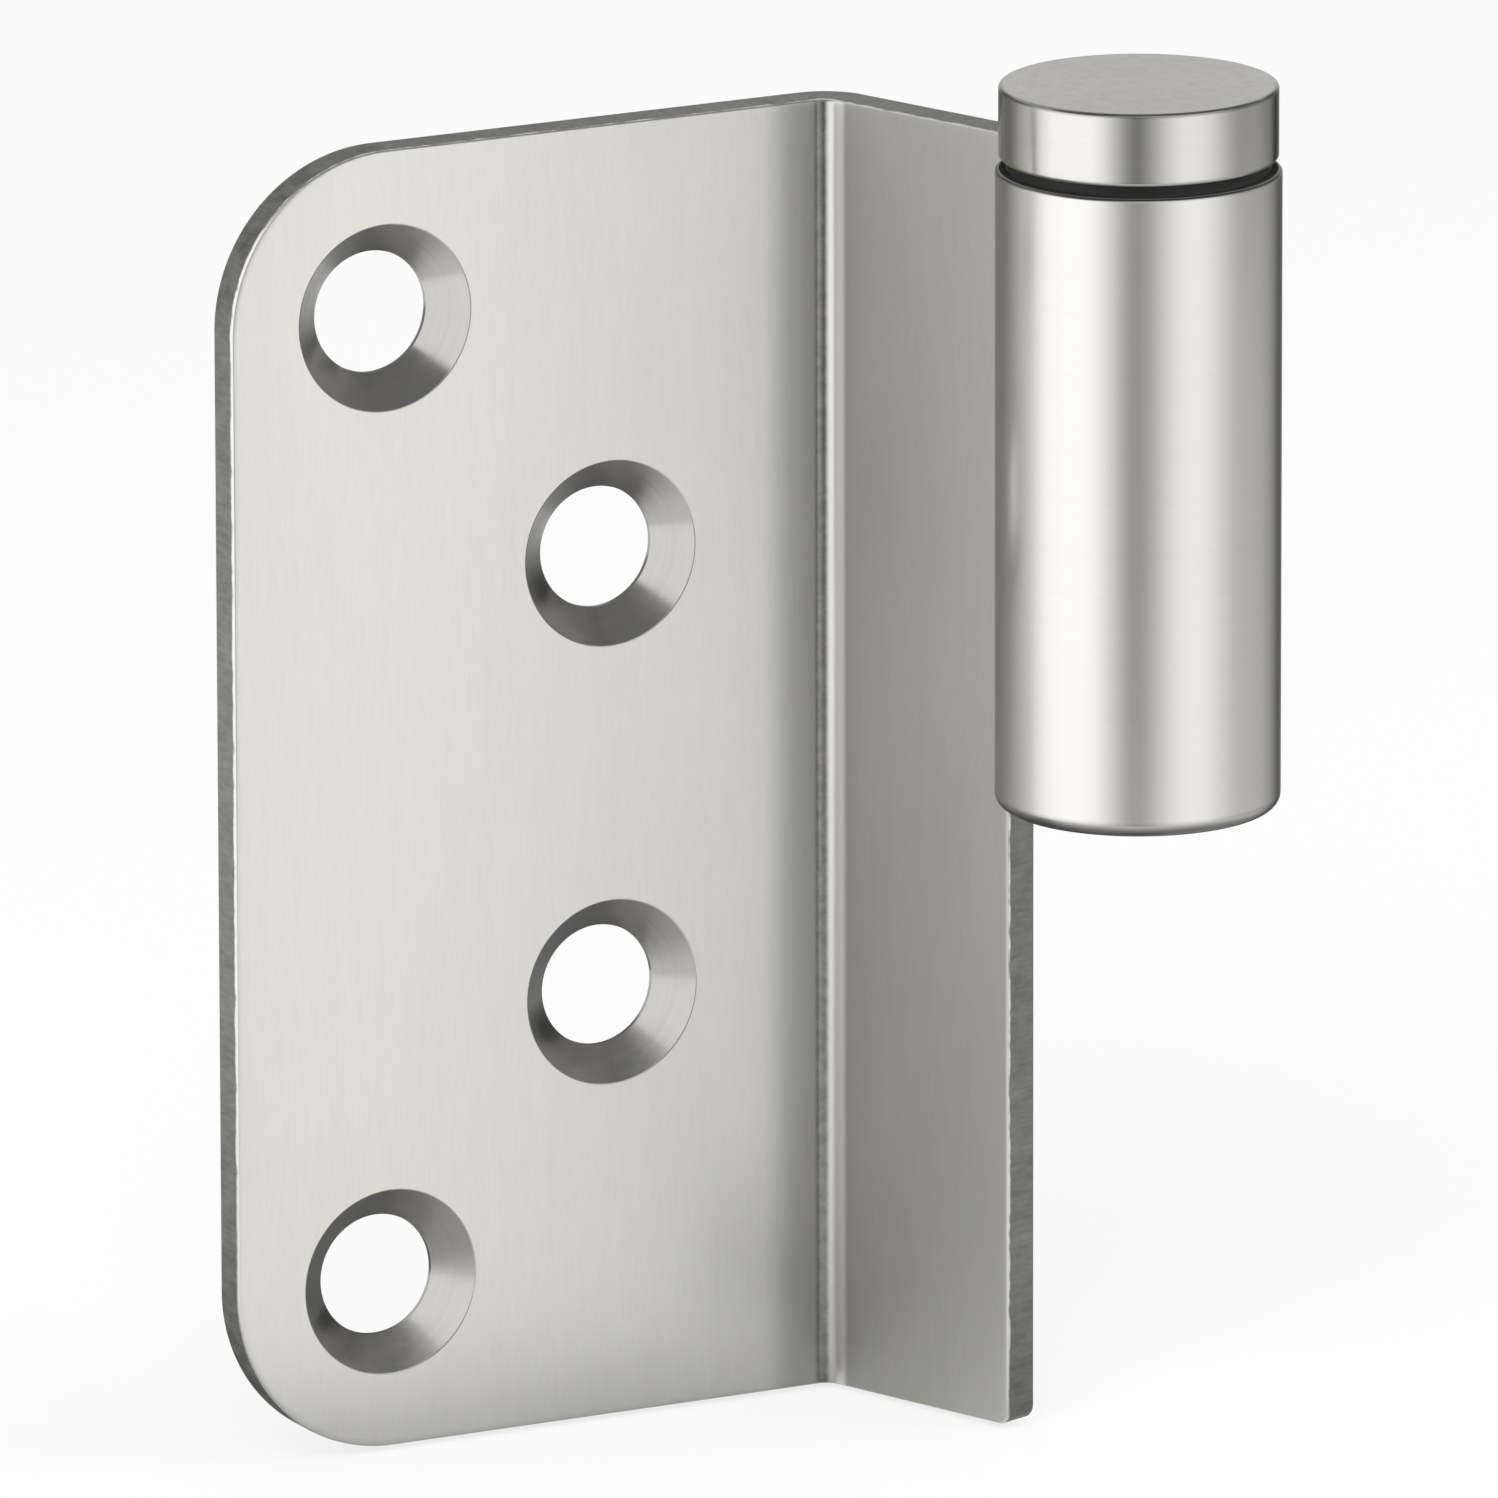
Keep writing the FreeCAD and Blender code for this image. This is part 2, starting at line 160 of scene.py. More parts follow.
class Finishes(bpy.types.PropertyGroup):
    """Colours and gloss of the surfaces."""
    sheet: colour("Sheet", (0.605, 0.599, 0.569), "Satin face of the main flange")
    # Painted shade: the main flange's face darkens to this colour towards the bend
    inner: colour("Inner sheet", (0.512, 0.507, 0.481), "Satin face of the main flange next to the bend")
    # Painted shade: the flange past the bend is a darker copy of the sheet colour
    second: colour("Second flange", (0.45, 0.446, 0.425), "Satin face past the bend")
    # Painted highlight: a bright line beside the bend's crease
    rubbed: colour("Rubbed line", (0.9, 0.89, 0.855), "Bright line that the bend leaves beside its crease")
    fold_shade: share("Fold shade", 0.57, "Darkening of the main flange next to the bend")
    sheet_roughness: share("Sheet roughness", 0.31, "Roughness of the satin face")
    past_roughness: share("Added roughness", 0.14, "Roughness that the face gains past the bend")
    shear: colour("Sheared edge", (0.24, 0.239, 0.222), "Cut edges of the sheet")
    countersink: colour("Countersink", (0.39, 0.384, 0.369), "Drilled and countersunk faces")
    turned: colour("Turned steel", (0.62, 0.612, 0.588), "Turned side of the knuckle")
    turned_roughness: share("Turned roughness", 0.28, "Roughness of the knuckle's side")
    # Painted shade: the knuckle's top end is painted near black where the ring shades it
    dulled: colour("Dulled end", (0.035, 0.035, 0.033), "Top end of the knuckle, under the ring")
    cap: colour("Cap side", (0.55, 0.543, 0.521), "Turned side of the cap")
    cap_roughness: share("Cap roughness", 0.17, "Roughness of the cap's side")
    faced: colour("Faced end", (0.455, 0.447, 0.424), "Top of the cap")
    ring: colour("Ring", (0.006, 0.006, 0.006), "Spacer ring")
    bush: colour("Bush", (0.05, 0.05, 0.055), "Bearing bush")


class StageSettings(bpy.types.PropertyGroup):
    """Camera, floor, plain light and the light tent that the steel mirrors."""
    camera_azimuth: angle("Camera azimuth", -27.581, "Turn of the camera about Z from the -Y side")
    camera_elevation: angle("Camera elevation", 14.247, "Height of the camera above the horizon")
    camera_roll: angle("Camera roll", -0.128, "Turn of the camera about its own view")
    camera_distance: length("Camera distance", 1899.134 * MM, "Camera to its target")
    camera_target: FloatVectorProperty(
        name="Camera target", description="Point at the middle of the picture", size=3, precision=5,
        default=(-17.297 * MM, 29.614 * MM, -0.315 * MM), subtype="TRANSLATION")
    lens: FloatProperty(name="Lens", description="Focal length in millimetres", default=604.76)
    floor_radius: length("Floor", 3000.0 * MM, "Radius of the floor")
    floor_glow: share("Floor glow", 0.8, "Share of the floor's white that shadows leave")
    ambient: level("Ambient", 0.65, "World light on matt surfaces")
    tent_radius: length("Tent radius", 130.0 * MM, "Light tent about the knuckle axis")
    tent_top: length("Tent top", 120.0 * MM, "Roof of the light tent above the origin")
    surround: level("Surround", 0.18, "Tent wall, which its panels add to")
    key: level("Key panel", 1.47, "Large soft panel at the camera's left")
    fill: level("Fill panel", 1.2, "Large soft panel at the camera's right")
    rear: level("Rear panel", 0.62, "Soft panel behind the hinge")
    left: level("Left panel", 0.84, "Panel at the hinge's left")
    right: level("Right panel", 0.48, "Dim panel at the hinge's right")
    echo: share("Echo", 0.85, "Share of the tent's light left where one steel face mirrors another")
    flag: share("Flags", 0.8, "Light that two narrow flags behind the hinge take away")
    ground: level("Ground", 1.2, "Ground of the tent in front of the hinge")
    ground_near: level("Near ground", 0.65, "Ground of the tent at the foot of the main flange")
    ground_rear: level("Rear ground", 0.2, "Ground of the tent behind the hinge")
    ground_far: level("Far ground", 0.35, "Ground of the tent at its rear wall")
    roof: level("Roof", 0.28, "Roof of the tent over the hinge")
    roof_front: level("Front roof", 1.5, "Roof of the tent at its front wall")
    roof_rear: level("Rear roof", 0.95, "Roof of the tent behind the hinge")


# Mesh helpers

def loop_edges(verts):
    """Give the edges that join a closed loop of vertices."""
    wanted = set(verts)
    return list({edge for vert in verts for edge in vert.link_edges if edge.other_vert(vert) in wanted})


def round_rim(bm, radius, height, amount, segments):
    """Round the circular edge at one radius and height."""
    def on_rim(vert):
        return abs(vert.co.xy.length - radius) < NEAR and abs(vert.co.z - height) < NEAR

    rim = [edge for edge in bm.edges if all(on_rim(vert) for vert in edge.verts)]
    if not rim:
        raise RuntimeError("no edge at radius %.5f, height %.5f" % (radius, height))
    bmesh.ops.bevel(
        bm, geom=rim, offset=amount, offset_type="OFFSET", affect="EDGES", segments=segments, profile=0.5,
        material=-1, clamp_overlap=True)


def turn_piece(steps, section, rims):
    """Spin a section of radius and height about Z, merge its seam and poles, and round its rims."""
    bm = bmesh.new()
    verts = [bm.verts.new((radius, 0.0, height)) for radius, height in section]
    edges = [bm.edges.new(pair) for pair in zip(verts, verts[1:])]
    bmesh.ops.spin(
        bm, geom=verts + edges, cent=(0, 0, 0), axis=(0, 0, 1), angle=2 * math.pi, steps=steps,
        use_merge=True)
    bmesh.ops.remove_doubles(bm, verts=bm.verts, dist=NEAR)
    bmesh.ops.recalc_face_normals(bm, faces=bm.faces)
    for rim in rims:
        round_rim(bm, *rim)
    return bm


def mark_top(bm, top):
    """Give the flat top end of a turned piece its own finish."""
    for face in bm.faces:
        face.material_index = END_FINISH if face.calc_center_median().z > top - NEAR else SIDE_FINISH


def make_object(bm, name, materials):
    """Make a finished mesh an object with its materials."""
    mesh = bpy.data.meshes.new(name)
    bm.to_mesh(mesh)
    bm.free()
    for material in materials:
        mesh.materials.append(material)
    made = bpy.data.objects.new(name, mesh)
    bpy.context.scene.collection.objects.link(made)
    return made


def add_piece(bm, name, materials, node, mirrored=True):
    """Add a piece that stands for its solid, and that other steel may mirror."""
    bmesh.ops.recalc_face_normals(bm, faces=bm.faces)
    piece = make_object(bm, name, materials)
    piece.data.shade_smooth()
    piece.data.set_sharp_from_angle(angle=math.radians(32))
    even = piece.modifiers.new("even_shading", "WEIGHTED_NORMAL")
    even.keep_sharp = True
    even.weight = 100
    piece.visible_glossy = mirrored
    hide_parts(node)
    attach(piece, BODY)


# Shader helpers

class Graph:
    """A node tree with short calls for adding nodes and feeding their inputs."""

    def __init__(self, tree):
        self.tree = tree

    def feed(self, socket, value):
        """Link an output to an input, or set the input's own value."""
        if isinstance(value, bpy.types.NodeSocket):
            self.tree.links.new(value, socket)
        else:
            socket.default_value = value

    def dress(self, made, inputs):
        """Feed a node's inputs by their names or numbers."""
        for key, value in inputs.items():
            self.feed(made.inputs[key], value)

    def add(self, kind, inputs=None, **settings):
        """Add a node with its settings and inputs."""
        made = self.tree.nodes.new(kind)
        for key, value in settings.items():
            setattr(made, key, value)
        self.dress(made, inputs or {})
        return made

    def maths(self, operation, *values):
        """Add a Math node and give its result."""
        return self.add("ShaderNodeMath", dict(enumerate(values)), operation=operation).outputs[0]

    def smooth(self, value, low, high, start=0.0, end=1.0):
        """Ease from start to end as a value goes from low to high."""
        inputs = {"Value": value, "From Min": low, "From Max": high, "To Min": start, "To Max": end}
        return self.add("ShaderNodeMapRange", inputs, interpolation_type="SMOOTHSTEP").outputs["Result"]

    def noise(self, vector, scale, detail=2.0, roughness=0.5):
        """Add a noise and give its value."""
        inputs = {"Vector": vector, "Scale": scale, "Detail": detail, "Roughness": roughness}
        return self.add("ShaderNodeTexNoise", inputs).outputs["Fac"]

    def pick(self, factor, first, second):
        """Go from one value to another by a factor."""
        return self.add("ShaderNodeMix", {0: factor, 2: first, 3: second}, data_type="FLOAT").outputs[0]

    def blend(self, factor, first, second):
        """Mix two colours by a factor."""
        return self.add("ShaderNodeMix", {0: factor, 6: first, 7: second}, data_type="RGBA").outputs[2]

    def split(self, vector):
        """Give the x, y and z of a vector."""
        return self.add("ShaderNodeSeparateXYZ", {"Vector": vector}).outputs

    def object_place(self):
        """Give the place on the piece in the part's frame."""
        return self.add("ShaderNodeTexCoord").outputs["Object"]

    def blank_place(self):
        """Give the place on the sheet as it lies flat."""
        return self.add("ShaderNodeUVMap", uv_map=BLANK_MAP).outputs["UV"]

    def blank_tangent(self):
        """Give the direction along the flat sheet."""
        return self.add("ShaderNodeTangent", direction_type="UV_MAP", uv_map=BLANK_MAP).outputs[0]

    def bump(self, height, depth):
        """Give a normal raised by a height between nought and one."""
        return self.add("ShaderNodeBump", {"Height": height, "Distance": depth}).outputs["Normal"]


def opaque(rgb, factor=1.0):
    """Give a colour scaled by a factor, with full alpha."""
    return [channel * factor for channel in rgb] + [1.0]


def varied(graph, tone, tint, darker, lighter):
    """Give a tint that goes from darker to lighter with a tone."""
    return graph.blend(tone, opaque(tint, darker), opaque(tint, lighter))


def new_group(name, inputs, outputs):
    """Start a shader node group with named sockets, and give its graph and its ends."""
    tree = bpy.data.node_groups.new(name, "ShaderNodeTree")
    for label, kind in inputs:
        tree.interface.new_socket(label, in_out="INPUT", socket_type="NodeSocket" + kind)
    for label, kind in outputs:
        tree.interface.new_socket(label, in_out="OUTPUT", socket_type="NodeSocket" + kind)
    graph = Graph(tree)
    start = graph.add("NodeGroupInput")
    end = graph.add("NodeGroupOutput")
    return graph, start, end


def place_group(graph, build, inputs):
    """Place a shared node group in a material, building it the first time."""
    tree = bpy.data.node_groups.get(build.__name__) or build()
    return graph.add("ShaderNodeGroup", inputs, node_tree=tree).outputs


def drawn_lines():
    """Build the group for fine lines drawn along one direction, as brushing and turning leave them.

    The vector's x runs across the lines and its y along them.
    """
    broad_share, broad_size = 0.35, 0.22
    graph, start, end = new_group(
        "drawn_lines",
        [("Vector", "Vector"), ("Fine", "Float"), ("Stretch", "Float"), ("Patch", "Float")],
        [("Lines", "Float"), ("Cloud", "Float")])
    parts = graph.split(start.outputs["Vector"])
    along = graph.maths("DIVIDE", parts["Y"], start.outputs["Stretch"])
    drawn = graph.add("ShaderNodeCombineXYZ", {"X": parts["X"], "Y": along, "Z": parts["Z"]}).outputs[0]
    fine = graph.noise(drawn, start.outputs["Fine"], detail=3.0, roughness=0.65)
    broad = graph.noise(drawn, graph.maths("MULTIPLY", start.outputs["Fine"], broad_size))
    cloud = graph.noise(start.outputs["Vector"], start.outputs["Patch"], detail=4.0, roughness=0.6)
    graph.dress(end, {"Lines": graph.pick(broad_share, fine, broad), "Cloud": cloud})
    return graph.tree


def round_coordinates():
    """Build the group that gives the distance from Z, a nought and the height."""
    graph, start, end = new_group("round_coordinates", [("Vector", "Vector")], [("Vector", "Vector")])
    parts = graph.split(start.outputs["Vector"])
    flat = graph.add("ShaderNodeCombineXYZ", {"X": parts["X"], "Y": parts["Y"]}).outputs[0]
    radius = graph.add("ShaderNodeVectorMath", {0: flat}, operation="LENGTH").outputs["Value"]
    made = graph.add("ShaderNodeCombineXYZ", {"X": radius, "Z": parts["Z"]})
    graph.feed(end.inputs["Vector"], made.outputs[0])
    return graph.tree


def new_material(name):
    """Start a node material and give it with its graph and its Principled BSDF."""
    material = bpy.data.materials.new(name)
    material.use_nodes = True
    graph = Graph(material.node_tree)
    shader = material.node_tree.nodes["Principled BSDF"]
    return material, graph, shader


def dress_metal(graph, shader, base, rough, normal, tangent, anisotropy, turn):
    """Feed a metal shader, with its highlight drawn out along a tangent."""
    graph.dress(shader, {
        "Metallic": 1.0, "Anisotropic": anisotropy, "Anisotropic Rotation": turn, "Tangent": tangent,
        "Base Color": base, "Roughness": rough, "Normal": normal})


# Finishes

# Noise scales per metre of fine lines and of clouds, and how many times longer than wide the lines are
BRUSHED = {"Fine": 4200.0, "Stretch": 12.0, "Patch": 55.0}
TORN = {"Fine": 2600.0, "Stretch": 5.0, "Patch": 420.0}
DRILLED = {"Fine": 6000.0, "Stretch": 30.0, "Patch": 300.0}
TURNED = {"Fine": 3600.0, "Stretch": 1.0, "Patch": 260.0}
SMUDGE = {"scale": 800.0, "detail": 4.0, "roughness": 0.6}

# Values that most of a noise lies between
NOISE_RANGE = 0.3, 0.7

# Bands along the sheet from the bend's start or end: where they begin, are full, start to fade and are gone
FOLD_BAND = -5.0 * MM, -1.8 * MM, 0.5 * MM, 0.8 * MM
CREASE_SHADE_BAND = -0.35 * MM, 0.0, 0.6 * MM, 1.05 * MM
BEND_HIGHLIGHT_BAND = -0.3 * MM, 0.1 * MM, 0.4 * MM, 1.1 * MM

# Where the face past the bend begins and is full, rougher and darker by painted shade, and the margins of
# the painted shade that darkens the main flange towards the bend
PAST_BEND = 0.3 * MM, 1.0 * MM
SHADE_FALL_MARGIN = 4.0 * MM

# Painted shade at the rims of the turned sides: where it is full and where it is gone, from the rim, and
# how dark it is
KNUCKLE_FOOT_SHADE = 0.45 * MM, 1.4 * MM, 0.88
KNUCKLE_TOP_SHADE = -0.04 * MM, -0.26 * MM, 0.96
CAP_FOOT_SHADE = 0.05 * MM, 0.4 * MM, 0.6
CAP_TOP_SHADE = -0.15 * MM, -0.4 * MM, 0.6


def band(graph, along, origin, limits):
    """Give one inside a band along the sheet, easing to nought at both its sides."""
    begin, full, fading, gone = (origin + limit for limit in limits)
    return graph.maths(
        "MULTIPLY", graph.smooth(along, begin, full), graph.smooth(along, fading, gone, 1.0, 0.0))


def brush(graph, finish):
    """Lay the satin grain over the sheet, and give its place, its lines, its tone and its roughness."""
    flat = graph.blank_place()
    marks = place_group(graph, drawn_lines, {"Vector": flat, **BRUSHED})
    tone = graph.pick(0.4, marks["Lines"], marks["Cloud"])
    middle, uneven = finish.sheet_roughness, 0.03
    rough = graph.smooth(marks["Cloud"], 0.25, 0.75, middle - uneven, middle + uneven)
    return flat, marks["Lines"], tone, rough


def grained(graph, tone, tint):
    """Give a tint that the grain makes a little lighter and darker."""
    return varied(graph, tone, tint, darker=0.86, lighter=1.14)


def dress_satin(graph, shader, base, rough, lines):
    """Feed a sheet's shader with its grain along the sheet's height."""
    normal = graph.bump(lines, depth=0.004 * MM)
    dress_metal(graph, shader, base, rough, normal, graph.blank_tangent(), anisotropy=0.6, turn=0.25)


def satin_sheet(finish, bend_start, bend_end):
    """Make the leaf's brushed front: rougher past the bend, darker towards and past it by painted shade,
    with painted shade along its crease and a painted highlight beside that.
    """
    material, graph, shader = new_material("satin_sheet")
    flat, lines, tone, rough = brush(graph, finish)
    along = graph.split(flat)["X"]
    # Painted shade: the main flange goes from the sheet colour to the darker inner colour towards the bend
    near = graph.smooth(along, SHADE_FALL_MARGIN, bend_start - SHADE_FALL_MARGIN)
    base = graph.blend(near, grained(graph, tone, finish.sheet), grained(graph, tone, finish.inner))
    # Painted shade past the bend: the face turns to the darker second colour, and it also gets rougher
    past = graph.smooth(along, *(bend_end + limit for limit in PAST_BEND))
    base = graph.blend(past, base, grained(graph, tone, finish.second))
    folded = graph.maths("MULTIPLY", band(graph, along, bend_start, FOLD_BAND), finish.fold_shade)
    base = graph.blend(folded, base, opaque(finish.second, 0.5))
    # Painted shade along the crease, broken up by noise
    crease_breakup = graph.noise(flat, scale=900.0, detail=3.0, roughness=0.7)
    crease_shade_share = graph.smooth(crease_breakup, 0.35, 0.65, start=0.5, end=0.72)
    crease = graph.maths("MULTIPLY", band(graph, along, bend_start, CREASE_SHADE_BAND), crease_shade_share)
    base = graph.blend(crease, base, opaque(finish.shear, 0.5))
    # Painted highlight beside the bend
    base = graph.blend(band(graph, along, bend_end, BEND_HIGHLIGHT_BAND), base, opaque(finish.rubbed))
    duller = graph.maths("MULTIPLY", past, finish.past_roughness)
    dress_satin(graph, shader, base, graph.maths("ADD", rough, duller), lines)
    return material


def satin_back(finish):
    """Make the leaf's brushed back."""
    material, graph, shader = new_material("satin_back")
    _, lines, tone, rough = brush(graph, finish)
    dress_satin(graph, shader, grained(graph, tone, finish.sheet), rough, lines)
    return material


def sheared_edge(finish):
    """Make the sheet's cut edge: torn across its thickness, with the face's finish drawn over its front."""
    material, graph, shader = new_material("sheared_edge")
    flat = graph.blank_place()
    marks = place_group(graph, drawn_lines, {"Vector": flat, **TORN})
    lines, cloud = marks["Lines"], marks["Cloud"]
    tone = graph.pick(0.5, lines, cloud)
    torn = varied(graph, graph.smooth(tone, *NOISE_RANGE), finish.shear, darker=0.62, lighter=1.3)
    wander = graph.maths("MULTIPLY", graph.maths("SUBTRACT", cloud, 0.5), 0.6 * MM)
    depth = graph.maths("ADD", graph.split(flat)["Y"], wander)
    border = graph.smooth(depth, low=0.12 * MM, high=0.3 * MM)
    base = graph.blend(border, opaque(finish.sheet), torn)
    torn_rough = graph.smooth(cloud, *NOISE_RANGE, start=0.5, end=0.7)
    rough = graph.pick(border, finish.sheet_roughness, torn_rough)
    normal = graph.bump(graph.maths("MULTIPLY", tone, border), depth=0.05 * MM)
    dress_metal(graph, shader, base, rough, normal, graph.blank_tangent(), anisotropy=0.3, turn=0.0)
    return material


def drilled_cone(finish):
    """Make the countersinks and holes, with lines left round them by the tool."""
    material, graph, shader = new_material("drilled_cone")
    parts = graph.split(graph.blank_place())
    across = graph.add("ShaderNodeCombineXYZ", {"X": parts["Y"], "Y": parts["X"]}).outputs[0]
    marks = place_group(graph, drawn_lines, {"Vector": across, **DRILLED})
    base = varied(graph, marks["Lines"], finish.countersink, darker=0.85, lighter=1.12)
    rough = graph.smooth(marks["Cloud"], *NOISE_RANGE, start=0.17, end=0.24)
    normal = graph.bump(marks["Lines"], depth=0.004 * MM)
    dress_metal(graph, shader, base, rough, normal, graph.blank_tangent(), anisotropy=0.3, turn=0.25)
    return material


def turned_face(name, tint, roughness, anisotropy, contrast, mottle, shades=()):
    """Make a turned steel face, with fine lines round the Z axis, a share of mottling and painted shade at
    its rims.
    """
    material, graph, shader = new_material(name)
    place = graph.object_place()
    rings = place_group(graph, round_coordinates, {"Vector": place})["Vector"]
    lines = place_group(graph, drawn_lines, {"Vector": rings, **TURNED})["Lines"]
    smudge = graph.noise(place, **SMUDGE)
    tone = graph.smooth(graph.pick(mottle, lines, smudge), *NOISE_RANGE)
    base = varied(graph, tone, tint, 1.0 - contrast, 1.0 + contrast)
    height = graph.split(place)["Z"]
    for rim, (dark, clean, amount) in shades:
        shaded = graph.smooth(height, rim + dark, rim + clean, amount, 0.0)
        base = graph.blend(shaded, base, opaque(tint, 0.06))
    rough = graph.smooth(tone, 0.0, 1.0, roughness - contrast / 4, roughness + contrast / 4)
    normal = graph.bump(lines, depth=0.001 * MM)
    tangent = graph.add("ShaderNodeTangent", direction_type="RADIAL", axis="Z").outputs[0]
    dress_metal(graph, shader, base, rough, normal, tangent, anisotropy, turn=0.25)
    return material


def shaded_end(finish):
    """Make the knuckle's top end near black and dull, as painted shade under the ring."""
    material, graph, shader = new_material("shaded_end")
    smudge = graph.noise(graph.object_place(), **SMUDGE)
    base = varied(graph, smudge, finish.dulled, darker=0.6, lighter=1.4)
    graph.dress(shader, {"Specular IOR Level": 0.0, "Roughness": 0.8, "Base Color": base})
    return material


def moulded_plastic(name, tint, roughness, grain):
    """Make a matt moulded plastic with a fine grain and slight mottling."""
    material, graph, shader = new_material(name)
    place = graph.object_place()
    pores = graph.noise(place, grain, detail=3.0, roughness=0.6)
    mottle = graph.noise(place, grain * 0.08)
    base = varied(graph, graph.pick(0.5, pores, mottle), tint, darker=0.7, lighter=1.3)
    rough = graph.smooth(pores, 0.2, 0.8, roughness - 0.08, roughness + 0.08)
    normal = graph.bump(pores, depth=0.012 * MM)
    graph.dress(shader, {
        "Specular IOR Level": 0.25, "Base Color": base, "Roughness": rough, "Normal": normal})
    return material


# Folded leaf

def at_depth(verts, depth):
    """Tell whether vertices of the flat blank all lie at one depth into the sheet."""
    return all(abs(vert.co.y - depth) < NEAR for vert in verts)


def cut_blank(bm, sizes, reach, half_height):
    """Cut the flat blank with its corners and edges rounded, and give its front and back outlines."""
    places = ((0.0, -half_height), (reach, -half_height), (reach, half_height), (0.0, half_height))
    corners = [bm.verts.new((along, 0.0, height)) for along, height in places]
    bm.faces.new(corners)
    for picked, radius, segments in (
            (corners[0::3], sizes.corner_radius, CORNER_STEPS),
            (corners[1:3], sizes.free_corner, FREE_CORNER_STEPS)):
        bmesh.ops.bevel(
            bm, geom=picked, offset=radius, offset_type="OFFSET", affect="VERTICES", segments=segments,
            profile=0.5, material=-1)
    made = bmesh.ops.extrude_face_region(bm, geom=bm.faces[:])
    raised = [item for item in made["geom"] if isinstance(item, bmesh.types.BMVert)]
    bmesh.ops.translate(bm, vec=(0.0, sizes.thickness, 0.0), verts=raised)
    front = [face for face in bm.faces if at_depth(face.verts, 0.0)]
    bmesh.ops.inset_region(
        bm, faces=front, thickness=sizes.roll_width, use_boundary=True, use_even_offset=True)
    inner = set(front[0].verts)
    rolled = [vert for vert in bm.verts if at_depth([vert], 0.0) and vert not in inner]
    bmesh.ops.translate(bm, vec=(0.0, sizes.roll_depth, 0.0), verts=rolled)
    depths = (sizes.roll_depth, sizes.thickness)
    rims = [edge for edge in bm.edges if any(at_depth(edge.verts, depth) for depth in depths)]
    bmesh.ops.bevel(
        bm, geom=rims, offset=sizes.edge_round, offset_type="OFFSET", affect="EDGES", segments=EDGE_STEPS,
        profile=0.5, material=-1)
    flats = [[face for face in bm.faces if at_depth(face.verts, depth)] for depth in (0.0, sizes.thickness)]
    outlines = [list(faces[0].verts) for faces in flats]
    bmesh.ops.delete(bm, geom=flats[0] + flats[1], context="FACES_ONLY")
    return outlines


def screw_holes():
    """Give every screw hole's centre on the flat blank, and its radius, from the record's mounts."""
    holes = []
    for name in ("outer_screws", "inner_screws"):
        mount = MOUNTS[name]
        along = mount["pos_m"][0] - LEAF_LOW.x
        half_pitch = mount["dims"]["spacing_y_mm"] * MM / 2
        for height in (half_pitch, -half_pitch):
            holes.append(((along, height), mount["dims"]["hole_r_mm"] * MM))
    return holes


def hole_profile(sizes, radius):
    """Give radius and depth of the loops down a countersunk hole, from front to back."""
    broken = sizes.rim_break
    return [
        (sizes.countersink + broken / 2, 0.0),
        (sizes.countersink, broken / 6),
        (sizes.countersink - broken / 2, broken / 2),
        (radius, sizes.countersink - radius),
        (radius, sizes.thickness - broken),
        (radius + broken, sizes.thickness),
    ]


def map_hole(wall, layer, centre, radius):
    """Lay a hole's wall out flat: x runs round the hole and y from its back to its front."""
    turn = 2 * math.pi * radius
    middle = Vector((centre[0], 0.0, centre[1]))
    for face in wall:
        away = [loop.vert.co - middle for loop in face.loops]
        places = [radius * math.atan2(arm.z, arm.x) for arm in away]
        for loop, arm, place in zip(face.loops, away, places):
            if max(places) - place > turn / 2:
                place += turn
            loop[layer].uv = (place, math.hypot(arm.z, arm.x) - arm.y)


def drill(bm, layer, sizes, centre, radius):
    """Draw a countersunk hole's wall on the flat blank, and give its front and back loops."""
    upright = Matrix.Rotation(math.pi / 2, 4, "X")
    loops = []
    for ring, depth in hole_profile(sizes, radius):
        place = Matrix.Translation((centre[0], depth, centre[1])) @ upright
        made = bmesh.ops.create_circle(bm, cap_ends=False, radius=ring, segments=HOLE_STEPS, matrix=place)
        loops.append(made["verts"])
    wall = []
    for first, second in zip(loops, loops[1:]):
        made = bmesh.ops.bridge_loops(bm, edges=loop_edges(first) + loop_edges(second))
        wall += made["faces"]
    for face in wall:
        face.material_index = HOLE_FINISH
    map_hole(wall, layer, centre, radius)
    return loops[0], loops[-1]


def fill_flat(bm, loops):
    """Fill a flat outline round its holes, at a thousand times the size, where the fill is exact."""
    verts = [vert for loop in loops for vert in loop]
    edges = [edge for loop in loops for edge in loop_edges(loop)]
    bmesh.ops.scale(bm, vec=Vector((1, 1, 1)) / MM, verts=verts)
    bmesh.ops.triangle_fill(bm, use_beauty=True, use_dissolve=False, edges=edges, normal=(0, -1, 0))
    bmesh.ops.scale(bm, vec=Vector((1, 1, 1)) * MM, verts=verts)


def score_bend(bm, bend_start, bend_end):
    """Cut the flat blank across where it will bend."""
    for step in range(BEND_STEPS + 1):
        cut = bend_start + (bend_end - bend_start) * step / BEND_STEPS
        parts = bm.verts[:] + bm.edges[:] + bm.faces[:]
        bmesh.ops.bisect_plane(bm, geom=parts, dist=NEAR, plane_co=(cut, 0, 0), plane_no=(1, 0, 0))


